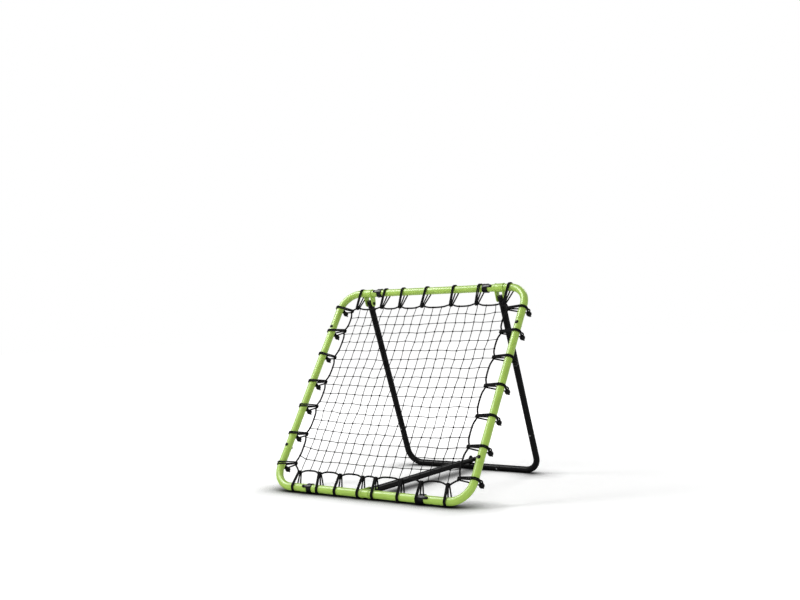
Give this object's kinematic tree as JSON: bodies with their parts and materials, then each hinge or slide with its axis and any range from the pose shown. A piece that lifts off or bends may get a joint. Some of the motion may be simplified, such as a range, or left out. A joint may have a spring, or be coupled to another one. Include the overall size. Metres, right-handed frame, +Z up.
{
  "type": "multisport rebounder",
  "caption": "Free-standing square ball rebounder: round-tube frame with a bungee-sprung net, leaning on a hinged rear stand set by a telescopic arm.",
  "frame": {"origin": "on the floor, in the middle of the footprint", "axes": "+Z up, +X across the frame to the right as seen from its front, +Y from the net to the rear stand"},
  "size_m": [1.0114, 0.8694, 0.8509],
  "materials": {
    "frame_green": "gloss powder coat, light apple green",
    "stand_black": "satin black powder coat",
    "arm_black": "satin black powder coat",
    "plastic_black": "glossy black moulded plastic",
    "bolt_black": "black zinc plated steel",
    "net_black": "knotted black twine",
    "cord_black": "black sheathed elastic cord"
  },
  "bodies": {
    "frame": {"bottom_left_corner_tube": "frame_green", "bottom_right_corner_tube": "frame_green", "top_left_corner_tube": "frame_green", "top_right_corner_tube": "frame_green", "top_rail": "frame_green", "bottom_rail": "frame_green", "left_stile": "frame_green", "right_stile": "frame_green", "bottom_left_joint_collar": "plastic_black", "bottom_right_joint_collar": "plastic_black", "top_left_joint_collar": "plastic_black", "top_right_joint_collar": "plastic_black", "bottom_left_stile_bolt": "bolt_black", "bottom_right_stile_bolt": "bolt_black", "top_left_stile_bolt": "bolt_black", "top_right_stile_bolt": "bolt_black", "left_hinge_bolt": "bolt_black", "right_hinge_bolt": "bolt_black", "arm_front_bolt": "bolt_black", "net": "net_black", "border_rope": "cord_black", "left_bungee_1": "cord_black", "left_bungee_2": "cord_black", "left_bungee_3": "cord_black", "left_bungee_4": "cord_black", "left_bungee_5": "cord_black", "left_bungee_6": "cord_black", "left_bungee_7": "cord_black", "right_bungee_1": "cord_black", "right_bungee_2": "cord_black", "right_bungee_3": "cord_black", "right_bungee_4": "cord_black", "right_bungee_5": "cord_black", "right_bungee_6": "cord_black", "right_bungee_7": "cord_black", "top_bungee_1": "cord_black", "top_bungee_2": "cord_black", "top_bungee_3": "cord_black", "top_bungee_4": "cord_black", "top_bungee_5": "cord_black", "top_bungee_6": "cord_black", "top_bungee_7": "cord_black", "bottom_bungee_1": "cord_black", "bottom_bungee_2": "cord_black", "bottom_bungee_3": "cord_black", "bottom_bungee_4": "cord_black", "bottom_bungee_5": "cord_black", "bottom_bungee_6": "cord_black", "bottom_bungee_7": "cord_black", "bottom_bungee_8": "cord_black"},
    "stand": {"left_stand_leg": "stand_black", "right_stand_leg": "stand_black", "stand_left_corner_tube": "stand_black", "stand_right_corner_tube": "stand_black", "stand_crossbar": "stand_black"},
    "arm_outer": {"arm_outer_tube": "arm_black", "arm_bush": "plastic_black"},
    "arm_inner": {"arm_inner_tube": "arm_black", "arm_rear_pin": "bolt_black"},
    "button": {"lock_button": "bolt_black"}
  },
  "joints": [
    {"name": "stand_hinge", "type": "hinge", "parent": "frame", "child": "stand", "pos_m": [0, 0.13164, 0.78317], "axis": [1, 0, 0], "range_deg": [0, 39.5]},
    {"name": "arm_swing", "type": "hinge", "parent": "frame", "child": "arm_outer", "pos_m": [0.009, -0.36516, 0.02791], "axis": [1, 0, 0], "range_deg": [0, 16.1]},
    {"name": "arm_slide", "type": "slide", "parent": "arm_outer", "child": "arm_inner", "axis": [0, 0.9998, 0.0205], "range_m": [0, 0.461]},
    {"name": "button_press", "type": "slide", "parent": "arm_inner", "child": "button", "axis": [-1, 0, 0], "range_m": [0, 0.004], "stiffness_N_per_m": 300, "springref_m": 0.004}
  ],
  "couplings": [
    {"joint": "arm_swing", "follows": "stand_hinge", "ratio": 0.40524},
    {"joint": "arm_slide", "follows": "stand_hinge", "m_per_rad": 0.66719}
  ]
}
